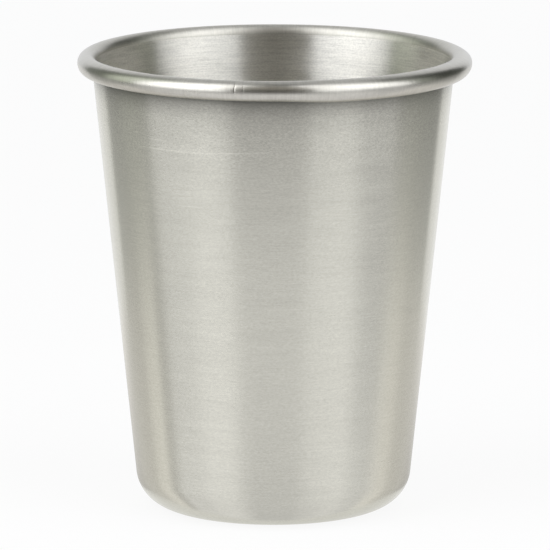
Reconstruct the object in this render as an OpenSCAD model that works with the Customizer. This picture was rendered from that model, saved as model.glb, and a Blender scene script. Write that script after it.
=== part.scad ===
// Shot glass drawn from one sheet of stainless steel, with an outward rolled rim.
// Millimetres, +Z up. The origin is on the table, under the centre of the base.
// The sheet is kept as three solids that meet at its own bend lines: the rim, the wall and the base.

/* [Cup] */
// Outside diameter over the rolled rim
rim_d = 48; // [40:0.5:60]
// Overall height, from the table to the top of the rim
cup_h = 56; // [40:0.5:80]
// Outside diameter of the wall's cone, carried on down to the table
base_d = 32.8; // [28:0.2:38]
// Thickness of the steel sheet
sheet_t = 0.5; // [0.3:0.05:0.7]

/* [Rolled rim] */
// Outside diameter of the curl
curl_d = 2.4; // [2:0.1:3.2]
// Gap left between the curl's cut edge and the wall
curl_gap = 0.1; // [0.05:0.05:0.25]

/* [Base] */
// Outside radius of the rounded heel between the wall and the floor
heel_r = 4.6; // [3:0.2:6]
// Width of the flat ring that the cup stands on
stand_w = 1.8; // [1:0.1:3]
// Height by which the middle of the floor is pressed up, clear of the table
dome_rise = 0.6; // [0.2:0.1:1.5]

/* [Hidden] */
$fn = 128;

// Curl: its centre, and the radius of the sheet's inner face round it
curl_r = curl_d / 2;
curl_bore_r = curl_r - sheet_t;
curl_c = [rim_d / 2 - curl_r, cup_h - curl_r];

// Part of the curl's turn that stays open, where its cut edge comes back to the wall
curl_open = acos((curl_bore_r - curl_gap) / curl_r);

// Lean of the wall from upright: its outer face starts on the base circle and ends
// as a tangent to the curl's bore, on the side of the cup's axis
base_to_curl = curl_c - [base_d / 2, 0];
wall_lean = atan2(base_to_curl.x, base_to_curl.y) - asin(curl_bore_r / norm(base_to_curl));
outward = [cos(wall_lean), -sin(wall_lean)];

// Heel: its centre, which is also where the level floor ends
heel_c = [base_d / 2 - heel_r * (1 - sin(wall_lean)) / cos(wall_lean), heel_r];

// Dome: the sphere under the floor, through the standing ring's inner edge and the raised middle
dome_edge_r = heel_c.x - stand_w;
dome_r = (dome_edge_r ^ 2 + dome_rise ^ 2) / (2 * dome_rise);
dome_c = [0, dome_rise - dome_r];

function on_ray(angle, length) = length * [cos(angle), sin(angle)];

// Wedge of the plane between two angles less than half a turn apart, reaching past radius r
module wedge(from, to, r) {
    reach = 2 * r;
    polygon([[0, 0], on_ray(from, reach), on_ray((from + to) / 2, reach), on_ray(to, reach)]);
}

// The hollow curl: the wall's sheet carried up, over, out and back round to the wall
module rolled_rim() {
    start = 180 - wall_lean;
    color("gainsboro")
        rotate_extrude()
            translate(curl_c)
                difference() {
                    circle(curl_r);
                    circle(curl_bore_r);
                    wedge(start, start + curl_open, curl_r);
                }
}

// The conical wall, square-ended where it runs into the heel below and the curl above
module tapered_wall() {
    color("silver")
        rotate_extrude()
            polygon([
                heel_c + heel_r * outward,
                curl_c - curl_bore_r * outward,
                curl_c - curl_r * outward,
                heel_c + (heel_r - sheet_t) * outward
            ]);
}

// Section of the heel's bend, from the level floor round to the wall
module heel_section() {
    translate(heel_c)
        intersection() {
            difference() {
                circle(heel_r);
                circle(heel_r - sheet_t);
            }
            wedge(-90, -wall_lean, heel_r);
        }
}

// Section of the floor: the level ring that the cup stands on, and the dome inside it
module floor_section() {
    difference() {
        union() {
            square([heel_c.x, sheet_t]);
            intersection() {
                translate(dome_c)
                    circle(dome_r + sheet_t);
                square([heel_c.x, heel_r]);
            }
        }
        translate(dome_c)
            circle(dome_r);
    }
}

// The cup's bottom, from the middle of the floor out and up to the wall
module base() {
    color("darkgray")
        rotate_extrude() {
            heel_section();
            floor_section();
        }
}

rolled_rim();
tapered_wall();
base();
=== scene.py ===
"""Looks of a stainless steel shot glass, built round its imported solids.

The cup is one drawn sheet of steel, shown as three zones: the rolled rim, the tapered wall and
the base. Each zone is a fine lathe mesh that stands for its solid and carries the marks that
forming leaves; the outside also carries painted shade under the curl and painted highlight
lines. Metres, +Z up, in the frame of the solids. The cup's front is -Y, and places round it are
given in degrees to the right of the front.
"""
import math
from dataclasses import dataclass

import bmesh
import bpy
import numpy as np
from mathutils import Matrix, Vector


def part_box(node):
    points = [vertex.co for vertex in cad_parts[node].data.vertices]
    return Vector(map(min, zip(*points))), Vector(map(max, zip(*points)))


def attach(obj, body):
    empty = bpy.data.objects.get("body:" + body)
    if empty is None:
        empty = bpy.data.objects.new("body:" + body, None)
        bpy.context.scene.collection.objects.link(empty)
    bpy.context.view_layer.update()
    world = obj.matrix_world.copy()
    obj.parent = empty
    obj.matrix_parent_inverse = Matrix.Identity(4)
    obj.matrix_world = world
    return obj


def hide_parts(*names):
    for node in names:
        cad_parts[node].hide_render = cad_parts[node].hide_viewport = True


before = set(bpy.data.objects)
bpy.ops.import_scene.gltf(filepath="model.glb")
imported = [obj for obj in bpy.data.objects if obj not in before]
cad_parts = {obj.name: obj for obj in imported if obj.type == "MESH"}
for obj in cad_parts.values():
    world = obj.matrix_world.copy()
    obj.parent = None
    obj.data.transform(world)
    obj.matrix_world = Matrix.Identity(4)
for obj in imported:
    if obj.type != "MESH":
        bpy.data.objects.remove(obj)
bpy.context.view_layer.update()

MM = 0.001
FULL_TURN = 2 * math.pi

# Sizes that the solids' boxes give
rim_low, rim_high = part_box("rolled_rim")
RIM_R = (rim_high.x - rim_low.x) / 2
CUP_H = rim_high.z
CURL_R = (rim_high.z - rim_low.z) / 2

# Sizes of the sheet that the boxes don't show
SHEET_T = 0.5 * MM
CURL_GAP = 0.1 * MM
BASE_R = 16.4 * MM
HEEL_R = 4.6 * MM
STAND_W = 1.8 * MM
DOME_RISE = 0.6 * MM
DOME_BLEND_R = 10 * MM

# Section of the sheet, worked out from those sizes
CURL_BORE_R = CURL_R - SHEET_T
CURL_C = np.array([RIM_R - CURL_R, CUP_H - CURL_R])
base_to_curl = CURL_C - [BASE_R, 0]
LEAN = math.atan2(*base_to_curl) - math.asin(CURL_BORE_R / np.hypot(*base_to_curl))
OUTWARD = np.array([math.cos(LEAN), -math.sin(LEAN)])
CURL_START = math.pi - LEAN
CURL_OPEN = math.acos((CURL_BORE_R - CURL_GAP) / CURL_R)
HEEL_C = np.array([BASE_R - HEEL_R * (1 - math.sin(LEAN)) / math.cos(LEAN), HEEL_R])
DOME_EDGE_R = HEEL_C[0] - STAND_W
DOME_R = (DOME_EDGE_R**2 + DOME_RISE**2) / (2 * DOME_RISE)
DOME_C = np.array([0, DOME_RISE - DOME_R])

# How finely the zones are turned, how many rows each stretch of the section has, how far an arc's
# rows crowd to its ends, and how near a point is that counts as on the axis
RIM_TURNS = 720
CUP_TURNS = 480
CURL_ROWS = 60
WALL_ROWS = 24
BEND_ROWS = 36
DOME_ROWS = 24
BLEND_ROWS = 6
FLAT_ROWS = 3
END_CROWDING = 0.75
ON_AXIS = 1e-8

# Which of its zone's finishes a run of the section has
OUTSIDE, INSIDE, UNDERSIDE = range(3)

# The curl hangs lower on one side, where the drawn edge came out longest: by how much, and the
# places between which it comes on and goes off again
SAG = 0.28 * MM
SAG_COMES_ON = (0, 21)
SAG_GOES_OFF = (100, 170)

# The curl is rolled off centre, so it stands out further on the right than on the left, and its
# crown leans inward: it is tighter on the inside of the top than on the outside
OFF_CENTRE = 0.17 * MM
CROWN_LEAN = 0.075 * MM

# Nicks across the curl: place, depth and width; the ranges of the stray ones out of sight; how many
# widths either way, in how many steps, the curl is turned more finely for each; and the digits that
# its turning angles keep
NICKS = (
    (-11.1, 0.012 * MM, 0.07 * MM),
    (-8.6, 0.006 * MM, 0.06 * MM),
    (-47.4, 0.005 * MM, 0.10 * MM),
    (43.8, 0.005 * MM, 0.10 * MM),
)
STRAY_NICKS = 22
STRAY_PLACES = (65, 295)
STRAY_DEPTHS = (0.002 * MM, 0.006 * MM)
STRAY_WIDTHS = (0.06 * MM, 0.16 * MM)
SEED = 11
NICK_REACH = 3
NICK_STEPS = 12
ANGLE_DIGITS = 7


def arc(centre, radius, start, end, steps):
    """Points (r, z) along an arc, with angles in radians, closer together at both ends."""
    share = np.linspace(0, 1, steps + 1)
    eased = (1 - np.cos(math.pi * share)) / 2
    angle = start + (end - start) * ((1 - END_CROWDING) * share + END_CROWDING * eased)
    return np.c_[centre[0] + radius * np.cos(angle), centre[1] + radius * np.sin(angle)]


def line(start, end, steps):
    return np.linspace(start, end, steps + 1)


def smooth_step(value, low, high):
    """Rises smoothly from 0 to 1 as the value goes from low to high."""
    share = np.clip((value - low) / (high - low), 0, 1)
    return share * share * (3 - 2 * share)


def turning_angle(place):
    """Angle round Z, in radians, of a place in degrees to the right of the front."""
    return math.radians(place) - math.pi / 2


def places_round(angle):
    """Places in degrees to the right of the front, from -180 to 180, of angles round Z."""
    return (np.degrees(angle) + 270) % 360 - 180


def lathe(name, runs, angles, reshape=None):
    """A closed mesh of runs of (r, z) points turned round Z.

    runs lists (points, finish, flows_on), counter-clockwise round the section. Each run starts
    where the last one ended and is smooth in itself. The edge at its end is sharp, unless it
    flows on into the next run. reshape moves the turned points, given r, z and the angle.
    """
    points, finishes, sharp_rows = [], [], []
    for run, finish, flows_on in runs:
        points.append(run[:-1])
        finishes += [finish] * (len(run) - 1)
        if not flows_on:
            sharp_rows.append(len(finishes))
    closed = np.allclose(runs[0][0][0], runs[-1][0][-1])
    if not closed:
        points.append(runs[-1][0][-1:])
    profile = np.concatenate(points)
    rows, turns = len(profile), len(angles)
    r = np.repeat(profile[:, :1], turns, axis=1)
    z = np.repeat(profile[:, 1:], turns, axis=1)
    if reshape:
        r, z = reshape(r, z, angles[None, :])
    grid = np.stack([r * np.cos(angles), r * np.sin(angles), z], axis=-1).reshape(-1, 3)

    row = np.arange(len(finishes))[:, None]
    step = np.arange(turns)[None, :]
    above = (row + 1) % rows
    beside = (step + 1) % turns
    corners = [row * turns + step, row * turns + beside, above * turns + beside, above * turns + step]
    faces = np.stack(corners, axis=-1).reshape(-1, 4)
    mesh = bpy.data.meshes.new(name)
    mesh.from_pydata(grid.tolist(), [], faces.tolist())
    mesh.polygons.foreach_set("material_index", np.repeat(finishes, turns).astype(np.int32))
    finish_lathe(mesh, [sharp % rows * turns for sharp in sharp_rows], turns)
    return add_object(name, mesh)


def finish_lathe(mesh, sharp_rings, turns):
    """Smooths a turned mesh apart from its sharp rings, and closes it where it meets the axis."""
    shaped = bmesh.new()
    shaped.from_mesh(mesh)
    shaped.verts.ensure_lookup_table()
    for ring in sharp_rings:
        for step in range(turns):
            ends = shaped.verts[ring + step], shaped.verts[ring + (step + 1) % turns]
            shaped.edges.get(ends).smooth = False
    on_axis = [point for point in shaped.verts if math.hypot(point.co.x, point.co.y) < ON_AXIS]
    bmesh.ops.remove_doubles(shaped, verts=on_axis, dist=ON_AXIS)
    for face in shaped.faces:
        face.smooth = True
    shaped.to_mesh(mesh)
    shaped.free()


def add_object(name, mesh):
    made = bpy.data.objects.new(name, mesh)
    bpy.context.scene.collection.objects.link(made)
    return made


def nick_list():
    """(angle, depth, width) of each nick, those in front and stray ones round the rest."""
    chance = np.random.default_rng(SEED)
    nicks = [(turning_angle(place), depth, width) for place, depth, width in NICKS]
    for _ in range(STRAY_NICKS):
        angle = turning_angle(chance.uniform(*STRAY_PLACES))
        nicks.append((angle, chance.uniform(*STRAY_DEPTHS), chance.uniform(*STRAY_WIDTHS)))
    return nicks


def rim_angles(nicks):
    """Turning angles of the rim: even, with closer steps across each nick."""
    even = np.linspace(0, FULL_TURN, RIM_TURNS, endpoint=False)
    across = np.linspace(-NICK_REACH, NICK_REACH, NICK_STEPS + 1)
    close = [angle + across * width / RIM_R for angle, _, width in nicks]
    return np.unique(np.round(np.concatenate([even, *close]) % FULL_TURN, ANGLE_DIGITS))


def roll_curl(nicks):
    """Reshapes the even curl: its crown, its roll off centre, its sag and the nicks across it."""
    def reshape(r, z, angle):
        place = places_round(angle)
        sag = SAG * (smooth_step(place, *SAG_COMES_ON) - smooth_step(place, *SAG_GOES_OFF))
        wider = OFF_CENTRE * np.sin(np.radians(place))
        dr, dz = r - CURL_C[0], z - CURL_C[1]
        from_top = np.arctan2(dr, dz)
        lean = CROWN_LEAN * np.sin(2 * from_top) * np.cos(from_top) ** 2
        crown = np.where(dz > 0, 1 - lean / CURL_R, 1)
        dr, dz = dr * crown, dz * crown
        dr = np.where(dr > 0, dr * (1 + wider / CURL_R), dr)
        dz = np.where(dz < 0, dz * (1 + sag / CURL_R), dz)
        reach = np.hypot(dr, dz)
        depth = np.zeros_like(r)
        for at, deep, wide in nicks:
            aside = (angle - at + math.pi) % FULL_TURN - math.pi
            depth = depth + deep * np.exp(-((aside * RIM_R / wide) ** 2))
        outer = (reach > CURL_R - SHEET_T / 2) & (dr > -CURL_R / 2)
        shrink = np.where(outer, 1 - depth / reach, 1)
        return CURL_C[0] + dr * shrink, CURL_C[1] + dz * shrink
    return reshape


def rim_runs():
    """The curl's section: its outside, where it joins the wall, its bore and its cut edge."""
    end = CURL_START - FULL_TURN + CURL_OPEN
    outer = arc(CURL_C, CURL_R, end, CURL_START, CURL_ROWS)
    bore = arc(CURL_C, CURL_BORE_R, CURL_START, end, CURL_ROWS // 2)
    return [
        (outer, OUTSIDE, False),
        (line(outer[-1], bore[0], 1), OUTSIDE, False),
        (bore, OUTSIDE, False),
        (line(bore[-1], outer[0], 1), OUTSIDE, False),
    ]


def wall_runs():
    """The wall's section: its outside, the joint with the rim, its inside, the joint with the base."""
    low, high = HEEL_C + HEEL_R * OUTWARD, CURL_C - CURL_BORE_R * OUTWARD
    inside_low, inside_high = HEEL_C + (HEEL_R - SHEET_T) * OUTWARD, CURL_C - CURL_R * OUTWARD
    return [
        (line(low, high, WALL_ROWS), OUTSIDE, False),
        (line(high, inside_high, 1), OUTSIDE, False),
        (line(inside_high, inside_low, WALL_ROWS), INSIDE, False),
        (line(inside_low, low, 1), OUTSIDE, False),
    ]


def base_runs():
    """The base's section: underneath from the axis out, up the heel, and back inside to the axis."""
    blend_z = DOME_BLEND_R
    blend_r = math.sqrt((DOME_R + DOME_BLEND_R) ** 2 - (blend_z - DOME_C[1]) ** 2)
    blend_c = np.array([blend_r, blend_z])
    tilt = math.atan2(*(blend_c - DOME_C))
    down, up = -math.pi / 2, math.pi / 2
    under_dome = arc(DOME_C, DOME_R, up, up - tilt, DOME_ROWS)
    under_blend = arc(blend_c, DOME_BLEND_R, down - tilt, down, BLEND_ROWS)
    heel = arc(HEEL_C, HEEL_R, down, -LEAN, BEND_ROWS)
    inner_heel = arc(HEEL_C, HEEL_R - SHEET_T, -LEAN, down, BEND_ROWS)
    inner_blend = arc(blend_c, DOME_BLEND_R - SHEET_T, down, down - tilt, BLEND_ROWS)
    inner_dome = arc(DOME_C, DOME_R + SHEET_T, up - tilt, up, DOME_ROWS)
    return [
        (under_dome, UNDERSIDE, True),
        (under_blend, UNDERSIDE, True),
        (line(under_blend[-1], heel[0], FLAT_ROWS), UNDERSIDE, True),
        (heel, OUTSIDE, False),
        (line(heel[-1], inner_heel[0], 1), OUTSIDE, False),
        (inner_heel, INSIDE, True),
        (line(inner_heel[-1], inner_blend[0], FLAT_ROWS), INSIDE, True),
        (inner_blend, INSIDE, True),
        (inner_dome, INSIDE, True),
    ]


def node(tree, kind, sockets=None, **settings):
    """Adds a shader node; a socket's value is a constant, or another node's output to link."""
    made = tree.nodes.new(kind)
    for key, value in settings.items():
        setattr(made, key, value)
    for key, value in (sockets or {}).items():
        if isinstance(value, bpy.types.NodeSocket):
            tree.links.new(value, made.inputs[key])
        else:
            made.inputs[key].default_value = value
    return made


def maths(tree, operation, a, b=0.0):
    return node(tree, "ShaderNodeMath", {0: a, 1: b}, operation=operation).outputs[0]


def vector_maths(tree, operation, *vectors):
    sockets = dict(enumerate(vectors))
    return node(tree, "ShaderNodeVectorMath", sockets, operation=operation).outputs


def scaled(tree, vector, scale):
    sockets = {0: vector, "Scale": scale}
    return node(tree, "ShaderNodeVectorMath", sockets, operation="SCALE").outputs[0]


def ramp(tree, value, low, high, to_low, to_high):
    """Maps a value from one range to another, held at the ends."""
    sockets = {"Value": value, "From Min": low, "From Max": high, "To Min": to_low, "To Max": to_high}
    return node(tree, "ShaderNodeMapRange", sockets).outputs["Result"]


# Noise: its detail, the range that most of it lies in, and the range of its scattered peaks
NOISE_DETAIL = 2.0
NOISE_ROUGH = 0.55
NOISE_SPREAD = (0.3, 0.7)
NOISE_PEAKS = (0.64, 0.78)

# Painted highlight lines, bright where small ledges in the wall would catch the light: half their
# width, over how many degrees they fade, how much brighter they are
PAINTED_HIGHLIGHT_WIDTH = 0.09 * MM
PAINTED_HIGHLIGHT_FADE = 8
PAINTED_HIGHLIGHT_GAIN = 0.13

# The brushing runs round the cup and draws the gloss out across itself, a quarter turn from there
QUARTER_TURN = 0.25


def noise(tree, vector):
    sockets = {"Vector": vector, "Scale": 1.0, "Detail": NOISE_DETAIL, "Roughness": NOISE_ROUGH}
    return node(tree, "ShaderNodeTexNoise", sockets).outputs["Fac"]


def new_material(name):
    material = bpy.data.materials.new(name)
    material.use_nodes = True
    material.node_tree.nodes.clear()
    return material, material.node_tree


@dataclass
class Marks:
    """One kind of mark on a steel, drawn from noise.

    They lie round the cup, or across the curl, with a length and width in metres. They stand
    that high or deep, and shade the colour and change the roughness by that much either way.
    """
    length: float
    width: float
    height: float = 0.0
    shade: float = 0.0
    rough: float = 0.0
    across_curl: bool = False
    # Only the noise's scattered peaks
    scattered: bool = False
    # Heights between which they come in up the cup, and their strength below
    comes_in: tuple = None


@dataclass
class Finish:
    """A steel's colour, its roughness, how far brushing draws its gloss out, and its marks."""
    colour: tuple
    rough: float
    brushed: float
    marks: tuple
    # Painted shade under the curl, where the curl shades the wall: its height up the cup, how far down
    # it fades, its depth
    painted_curl_shade: tuple = None
    # The side that faces in: the distances from the axis between which it comes on inward, and
    # how much rougher it is
    facing_in: tuple = None
    # Painted highlight lines round the cup, standing in for light caught on small ledges in the wall:
    # their height, how far they climb, and the places they start and end at
    painted_highlights: tuple = ()


class SteelPlaces:
    """The places on the cup that its marks are drawn by."""

    def __init__(self, tree):
        self.tree = tree
        place = node(tree, "ShaderNodeTexCoord").outputs["Object"]
        self.x, self.y, self.z = node(tree, "ShaderNodeSeparateXYZ", {0: place}).outputs
        self.level = node(tree, "ShaderNodeCombineXYZ", {"X": self.x, "Y": self.y}).outputs[0]
        self.r = vector_maths(tree, "LENGTH", self.level)["Value"]
        self.path = maths(tree, "ADD", self.z, self.r)

    def round_cup(self, length, width):
        """Coordinates that stretch a noise round the cup."""
        sockets = {
            "X": maths(self.tree, "DIVIDE", self.x, length),
            "Y": maths(self.tree, "DIVIDE", self.y, length),
            "Z": maths(self.tree, "DIVIDE", self.path, width),
        }
        return node(self.tree, "ShaderNodeCombineXYZ", sockets).outputs[0]

    def across_curl(self, length, width):
        """Coordinates that stretch a noise across the curl, square to the rim."""
        facing = vector_maths(self.tree, "NORMALIZE", self.level)[0]
        round_rim = scaled(self.tree, facing, RIM_R / width)
        height = maths(self.tree, "DIVIDE", self.z, length)
        up = node(self.tree, "ShaderNodeCombineXYZ", {"Z": height}).outputs[0]
        return vector_maths(self.tree, "ADD", round_rim, up)[0]

    def marks(self, kind):
        """A value for one kind of mark: from -1 to 1, or from 0 to 1 where they are scattered."""
        lie = self.across_curl if kind.across_curl else self.round_cup
        drawn = noise(self.tree, lie(kind.length, kind.width))
        if kind.scattered:
            value = ramp(self.tree, drawn, *NOISE_PEAKS, 0.0, 1.0)
        else:
            value = ramp(self.tree, drawn, *NOISE_SPREAD, -1.0, 1.0)
        if kind.comes_in:
            low, high, least = kind.comes_in
            value = maths(self.tree, "MULTIPLY", value, ramp(self.tree, self.z, low, high, least, 1.0))
        return value

    def painted_highlight(self, height, climb, start, end):
        """How much of a painted highlight line is here, from 0 to 1.

        The line goes from one place to another, level at first, and climbs over its second half.
        """
        forward = maths(self.tree, "MULTIPLY", self.y, -1.0)
        place = maths(self.tree, "DEGREES", maths(self.tree, "ARCTAN2", self.x, forward))
        middle = (start + end) / 2
        line_z = ramp(self.tree, place, middle, end, height, height + climb)
        aside = maths(self.tree, "DIVIDE", maths(self.tree, "SUBTRACT", self.z, line_z), PAINTED_HIGHLIGHT_WIDTH)
        squared = maths(self.tree, "MULTIPLY", aside, aside)
        nearness = maths(self.tree, "EXPONENT", maths(self.tree, "MULTIPLY", squared, -1.0))
        starts = ramp(self.tree, place, start, start + PAINTED_HIGHLIGHT_FADE, 0.0, 1.0)
        ends = ramp(self.tree, place, end - PAINTED_HIGHLIGHT_FADE, end, 1.0, 0.0)
        return maths(self.tree, "MULTIPLY", nearness, maths(self.tree, "MULTIPLY", starts, ends))

    def curl_shade_tone(self, top, fade, depth):
        """Tone of the steel with painted shade under the curl: darkest at its height up the cup, and
        coming back to 1 below it.
        """
        below = maths(self.tree, "DIVIDE", maths(self.tree, "SUBTRACT", self.z, top), fade)
        nearness = maths(self.tree, "EXPONENT", maths(self.tree, "MINIMUM", below, 0.0))
        return maths(self.tree, "SUBTRACT", 1.0, maths(self.tree, "MULTIPLY", nearness, depth))


def steel(name, finish):
    """A steel of one finish."""
    material, tree = new_material(name)
    places = SteelPlaces(tree)
    tone, rough, height = 1.0, finish.rough, 0.0
    for kind in finish.marks:
        value = places.marks(kind)
        if kind.shade:
            tone = maths(tree, "ADD", maths(tree, "MULTIPLY", value, kind.shade), tone)
        if kind.rough:
            rough = maths(tree, "ADD", maths(tree, "MULTIPLY", value, kind.rough), rough)
        if kind.height:
            height = maths(tree, "ADD", maths(tree, "MULTIPLY", value, kind.height), height)
    for painted_highlight in finish.painted_highlights:
        # Painted highlights: bright lines painted into the colour
        tone = maths(tree, "ADD", maths(tree, "MULTIPLY", places.painted_highlight(*painted_highlight), PAINTED_HIGHLIGHT_GAIN), tone)
    # Painted shade: the colour darkened just under the curl, where the curl shades the wall
    if finish.painted_curl_shade:
        tone = maths(tree, "MULTIPLY", tone, places.curl_shade_tone(*finish.painted_curl_shade))
    if finish.facing_in:
        outer, inner, rougher = finish.facing_in
        rough = maths(tree, "ADD", ramp(tree, places.r, inner, outer, rougher, 0.0), rough)
    bump = node(tree, "ShaderNodeBump", {"Height": height, "Strength": 1.0, "Distance": 1.0})
    tangent = node(tree, "ShaderNodeTangent", direction_type="RADIAL", axis="Z")
    shader = node(tree, "ShaderNodeBsdfPrincipled", {
        "Base Color": scaled(tree, finish.colour, tone),
        "Metallic": 1.0,
        "Roughness": rough,
        "Anisotropic": finish.brushed,
        "Anisotropic Rotation": QUARTER_TURN,
        "Tangent": tangent.outputs[0],
        "Normal": bump.outputs[0],
    })
    node(tree, "ShaderNodeOutputMaterial", {"Surface": shader.outputs[0]})
    return material


# The satin outside carries painted shade under the curl and painted highlight lines round the wall,
# besides its own marks
SATIN = Finish(
    colour=(0.60, 0.59, 0.52), rough=0.24, brushed=0.85, painted_curl_shade=(53.6 * MM, 1.4 * MM, 0.86),
    painted_highlights=(
        (46.8 * MM, 0.42 * MM, -50, 2),
        (40.1 * MM, 0.05 * MM, -37, -23),
        (47.9 * MM, 0.1 * MM, -50, -33),
        (45.2 * MM, 0.3 * MM, 84, 131),
        (47.3 * MM, 0.2 * MM, -158, -120),
    ),
    marks=(
        Marks(14 * MM, 1.6 * MM, shade=0.012, rough=0.02),
        Marks(3 * MM, 0.17 * MM, height=0.00008 * MM, shade=0.028),
        Marks(0.35 * MM, 0.17 * MM, shade=0.056),
        Marks(0.3 * MM, 0.18 * MM, height=0.0003 * MM, shade=0.11, comes_in=(42 * MM, 48 * MM, 0.16)),
        Marks(1.2 * MM, 0.14 * MM, shade=0.05, scattered=True),
    ),
)
BRUSHED = Finish(
    colour=(0.70, 0.685, 0.635), rough=0.34, brushed=0.95,
    marks=(
        Marks(16 * MM, 1.2 * MM, shade=0.03, rough=0.04),
        Marks(3 * MM, 0.18 * MM, height=0.0004 * MM, shade=0.09),
        Marks(10 * MM, 0.4 * MM, height=0.0008 * MM, shade=0.05),
        Marks(0.25 * MM, 0.18 * MM, shade=0.1),
    ),
)
ROLLED = Finish(
    colour=(0.53, 0.515, 0.465), rough=0.3, brushed=0.6, facing_in=(23.4 * MM, 22.2 * MM, 0.1),
    marks=(
        Marks(6 * MM, 0.8 * MM, shade=0.02, rough=0.03),
        Marks(3 * MM, 0.18 * MM, height=0.0008 * MM, shade=0.06, across_curl=True),
        Marks(0.4 * MM, 0.3 * MM, height=0.0006 * MM, shade=0.04, across_curl=True),
    ),
)
TURNED = Finish(
    colour=(0.57, 0.56, 0.515), rough=0.36, brushed=0.9,
    marks=(
        Marks(20 * MM, 1.5 * MM, shade=0.04, rough=0.05),
        Marks(8 * MM, 0.35 * MM, height=0.0006 * MM, shade=0.08),
        Marks(0.4 * MM, 0.4 * MM, height=0.0002 * MM),
    ),
)


def build_cup():
    satin = steel("satin_outside", SATIN)
    brushed = steel("brushed_inside", BRUSHED)
    rolled = steel("rolled_rim", ROLLED)
    turned = steel("turned_underside", TURNED)
    nicks = nick_list()
    cup_angles = np.linspace(0, FULL_TURN, CUP_TURNS, endpoint=False)
    bead = lathe("rim_bead", rim_runs(), rim_angles(nicks), roll_curl(nicks))
    wall = lathe("cup_wall", wall_runs(), cup_angles)
    base = lathe("cup_base", base_runs(), cup_angles)
    dressed = (
        (bead, "rolled_rim", "rim_steel", (rolled,)),
        (wall, "tapered_wall", "wall_steel", (satin, brushed)),
        (base, "base", "base_steel", (satin, brushed, turned)),
    )
    for piece, solid, slot, finishes in dressed:
        for finish in finishes:
            piece.data.materials.append(finish)
        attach(piece, "root")
        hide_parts(solid)


# The floor: half its side, its paper's colour and roughness, how uneven its tone is and over what
# length, and how white it shows by itself
FLOOR_HALF = 4.0
FLOOR_COLOUR = (0.82, 0.818, 0.81)
FLOOR_ROUGH = 0.9
FLOOR_UNEVEN = 0.006
FLOOR_PATCH = 0.2
FLOOR_WHITE = 0.88

# Light that comes from all round, and the tints of the studio's cloths
WORLD_LIGHT = 0.5
COOL = (0.98, 0.995, 1.03)
GREENISH = (0.97, 1.05, 0.92)
WARM = (1.08, 1.02, 0.9)

# Panels on globes round the cup: the places and the elevations they reach between, their radiance
# at the middle and at the edges, and their tint. The lights light the stage, and the flags, on the
# smaller globe, only show in reflections.
GLOBE_R = 0.55
FLAG_R = 0.5
PANEL_STEPS = 24
LIGHTS = (
    ("softbox_left", (-86, -27), (0, 80), 2.9, 1.9, COOL),
    ("softbox_right", (23, 86), (0, 80), 2.4, 1.6, COOL),
    ("backdrop", (144, 219), (0, 46), 1.0, 0.92, COOL),
)
FLAGS = (
    ("flag_front", (-27, 23), (0, 34), 0.06, 0.12, WARM),
    ("flag_front_high", (-27, 23), (34, 80), 0.25, 0.28, WARM),
    ("flag_left_front", (-113, -86), (0, 62), 0.95, 0.66, GREENISH),
    ("flag_left_back", (-141, -113), (0, 62), 0.16, 0.2, GREENISH),
    ("flag_left_high", (-141, -86), (62, 80), 0.65, 0.6, COOL),
    ("flag_right_front", (86, 104), (0, 62), 0.3, 0.3, GREENISH),
    ("flag_right_back", (104, 144), (0, 62), 0.04, 0.1, GREENISH),
    ("flag_right_high", (86, 144), (62, 80), 0.65, 0.6, COOL),
    ("flag_back_high", (144, 219), (46, 80), 0.6, 0.6, COOL),
    ("flag_above", (-180, 180), (80, 90), 0.05, 0.05, COOL),
)

# Two glowing sheets on the table that light nothing and only show in reflections: painted
# reflections of the floor, its light and shade painted into their radiance. They are laid where
# the wall mirrors them: the near one from the cup's foot, the far one beyond it. Each lists places
# on the wall, with the sheet's radiance at its near and at its far edge there. A higher fall brings
# the far edge's radiance in sooner. The tint goes over to that of the sides between two places
# either way.
SHEET_LIFT = 0.5 * MM
SHEET_START_R = 18 * MM
SHEET_PLACES = 240
SHEET_TINT = (0.998, 0.998, 1.028)
SIDE_COMES_ON = (40, 54)
NEAR_REACH = (-0.003, 0.1)
NEAR_FALL = 0.6
NEAR_SIDE_TINT = (1.01, 0.99, 0.975)
NEAR_SHEET = (
    (-90, 0.56, 0.97),
    (-77, 0.58, 0.97),
    (-73, 0.78, 0.79),
    (-60, 0.82, 0.76),
    (-57, 1.0, 0.91),
    (-51, 1.08, 0.98),
    (-48.5, 0.73, 0.65),
    (-45.5, 0.73, 0.63),
    (-43, 0.95, 0.81),
    (-33, 0.97, 0.86),
    (-27, 1.03, 1.06),
    (-19, 1.03, 1.11),
    (-8, 0.8, 1.19),
    (8, 0.8, 1.19),
    (20, 0.94, 1.09),
    (29, 1.0, 1.09),
    (36, 0.96, 0.71),
    (43, 0.9, 0.7),
    (48, 1.02, 1.01),
    (54, 1.02, 1.02),
    (60, 0.79, 0.88),
    (73, 0.7, 0.87),
    (77, 0.54, 0.95),
    (90, 0.54, 0.95),
)
FAR_REACH = (0.1, 0.6)
FAR_FALL = 2
FAR_SIDE_TINT = (0.99, 1.0, 0.985)
FAR_SHEET = (
    (-69, 0.8, 0.38),
    (-46, 0.71, 0.35),
    (-43.5, 0.88, 0.57),
    (-29, 0.91, 0.6),
    (-22, 0.98, 0.6),
    (-10.5, 1.16, 0.0),
    (6, 1.16, 0.0),
    (23, 1.02, 0.56),
    (26, 0.97, 0.56),
    (31, 0.7, 0.5),
    (41, 0.7, 0.46),
    (43.5, 0.89, 0.24),
    (70, 0.89, 0.23),
)
SHEETS = (
    ("near_sheet", NEAR_SHEET, NEAR_REACH, NEAR_FALL, NEAR_SIDE_TINT),
    ("far_sheet", FAR_SHEET, FAR_REACH, FAR_FALL, FAR_SIDE_TINT),
)


def heading(place, elevation):
    """Unit vector from the cup's foot towards a place round it and an elevation, in degrees."""
    turn, rise = turning_angle(place), math.radians(elevation)
    return np.array([math.cos(turn) * math.cos(rise), math.sin(turn) * math.cos(rise), math.sin(rise)])


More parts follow.
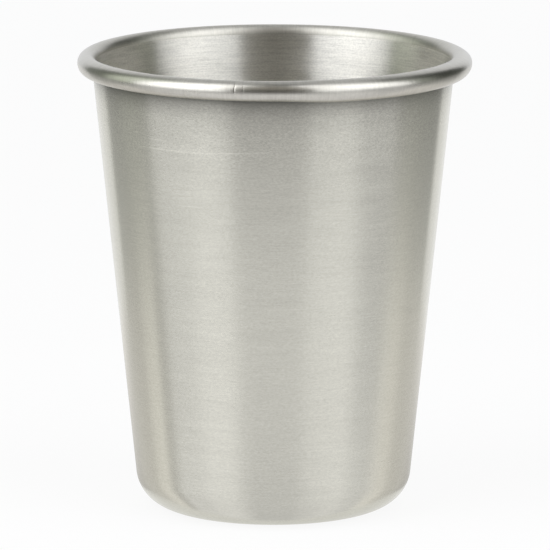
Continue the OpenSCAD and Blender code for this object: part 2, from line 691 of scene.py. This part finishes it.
def floor_paper():
    """Pale paper that takes the shadows, and shows part white to the camera and in the steel."""
    material, tree = new_material("floor_paper")
    place = node(tree, "ShaderNodeTexCoord").outputs["Object"]
    patches = noise(tree, scaled(tree, place, 1 / FLOOR_PATCH))
    tone = ramp(tree, patches, *NOISE_SPREAD, 1 - FLOOR_UNEVEN, 1 + FLOOR_UNEVEN)
    paper = node(tree, "ShaderNodeBsdfPrincipled", {
        "Base Color": scaled(tree, FLOOR_COLOUR, tone),
        "Roughness": FLOOR_ROUGH,
    })
    white = node(tree, "ShaderNodeEmission", {"Strength": 1.0})
    ray = node(tree, "ShaderNodeLightPath").outputs
    seen = maths(tree, "MAXIMUM", ray["Is Camera Ray"], ray["Is Glossy Ray"])
    seen = maths(tree, "MAXIMUM", seen, ray["Is Transmission Ray"])
    share = maths(tree, "MULTIPLY", seen, FLOOR_WHITE)
    mixed = node(tree, "ShaderNodeMixShader", {0: share, 1: paper.outputs[0], 2: white.outputs[0]})
    node(tree, "ShaderNodeOutputMaterial", {"Surface": mixed.outputs[0]})
    material.cycles.emission_sampling = "NONE"
    return material


def stage_object(name, vertices, faces, material):
    mesh = bpy.data.meshes.new(name)
    mesh.from_pydata(vertices, [], faces)
    mesh.materials.append(material)
    made = add_object(name, mesh)
    return made


def lay_floor():
    half = FLOOR_HALF
    corners = [(-half, -half, 0), (half, -half, 0), (half, half, 0), (-half, half, 0)]
    stage_object("floor", corners, [(0, 1, 2, 3)], floor_paper())


def glowing_cloth():
    """A panel's cloth, which glows by the colour kept at each of its points."""
    material, tree = new_material("glowing_cloth")
    glow = node(tree, "ShaderNodeAttribute", attribute_name="glow").outputs["Color"]
    shader = node(tree, "ShaderNodeEmission", {"Color": glow, "Strength": 1.0})
    node(tree, "ShaderNodeOutputMaterial", {"Surface": shader.outputs[0]})
    return material


def add_panel(name, vertices, glow, columns, cloth):
    """A panel of the studio from rows of points and their glow; the camera looks past it."""
    wide = columns + 1
    rows = len(vertices) // wide - 1
    starts = [row * wide + column for row in range(rows) for column in range(columns)]
    faces = [(start, start + 1, start + wide + 1, start + wide) for start in starts]
    panel = stage_object(name, vertices, faces, cloth)
    kept = panel.data.attributes.new("glow", "FLOAT_COLOR", "POINT")
    kept.data.foreach_set("color", np.c_[glow, np.ones(len(glow))].ravel())
    panel.visible_camera = False
    return panel


def hang_panel(name, places, elevations, middle, edge, tint, distance, cloth):
    """A panel on a globe round the cup, with one radiance at its middle and one at its edges."""
    vertices, glow = [], []
    for up in np.linspace(-1, 1, PANEL_STEPS + 1):
        for across in np.linspace(-1, 1, PANEL_STEPS + 1):
            place = np.interp(across, (-1, 1), places)
            elevation = np.interp(up, (-1, 1), elevations)
            radiance = edge + (middle - edge) * (1 - across**2) * (1 - up**2)
            vertices.append(tuple(distance * heading(place, elevation)))
            glow.append(radiance * np.array(tint))
    return add_panel(name, vertices, glow, PANEL_STEPS, cloth)


def lay_sheet(name, tones, reaches, fall, side_tint, cloth):
    """A flat glowing sheet just above the floor, a painted reflection of the floor, whose radiance
    goes from its near to its far edge's.

    At a place on the wall, the camera in front sees what lies at twice that place's angle. The
    sheet's rows lie closer together near the cup.
    """
    known, nears, fars = np.transpose(tones)
    vertices, glow = [], []
    for out in np.linspace(0, 1, PANEL_STEPS + 1):
        reach = reaches[0] + (reaches[1] - reaches[0]) * out**2
        for place in np.linspace(known[0], known[-1], SHEET_PLACES + 1):
            point = SHEET_START_R * heading(place, 0) + reach * heading(2 * place, 0)
            near, far = np.interp(place, known, nears), np.interp(place, known, fars)
            radiance = far + (near - far) * (1 - out) ** fall
            side = smooth_step(abs(place), *SIDE_COMES_ON)
            tint = (1 - side) * np.array(SHEET_TINT) + side * np.array(side_tint)
            vertices.append((point[0], point[1], SHEET_LIFT))
            glow.append(radiance * tint)
    return add_panel(name, vertices, glow, SHEET_PLACES, cloth)


def show_in_reflections_only(panel):
    panel.visible_diffuse = False
    panel.visible_shadow = False


def light_stage():
    world = bpy.data.worlds.new("studio")
    bpy.context.scene.world = world
    world.use_nodes = True
    sky = world.node_tree.nodes["Background"]
    sky.inputs["Color"].default_value = (1, 1, 1, 1)
    sky.inputs["Strength"].default_value = WORLD_LIGHT
    cloth = glowing_cloth()
    for light in LIGHTS:
        hang_panel(*light, GLOBE_R, cloth)
    for flag in FLAGS:
        show_in_reflections_only(hang_panel(*flag, FLAG_R, cloth))
    for sheet in SHEETS:
        # Painted reflections of the floor's light and shade, seen only in the steel
        show_in_reflections_only(lay_sheet(*sheet, cloth))


# The camera: its height over the cup's middle and its tilt, in degrees; how far off it stands;
# how far it stands aside; and its lens, in millimetres
CAMERA_ELEVATION = 10.71
CAMERA_TILT_DOWN = 10.681
CAMERA_DISTANCE = 0.81
CAMERA_ASIDE = 0.2 * MM
CAMERA_LENS = 433.4
CAMERA_SENSOR = 36


def place_camera():
    elevation = math.radians(CAMERA_ELEVATION)
    lens = bpy.data.cameras.new("camera")
    lens.sensor_width = CAMERA_SENSOR
    lens.lens = CAMERA_LENS
    camera = add_object("camera", lens)
    camera.location = (
        CAMERA_ASIDE,
        -CAMERA_DISTANCE * math.cos(elevation),
        CUP_H / 2 + CAMERA_DISTANCE * math.sin(elevation),
    )
    camera.rotation_euler = (math.pi / 2 - math.radians(CAMERA_TILT_DOWN), 0, 0)
    bpy.context.scene.camera = camera


build_cup()
lay_floor()
light_stage()
place_camera()
bpy.context.scene.view_settings.view_transform = "Standard"
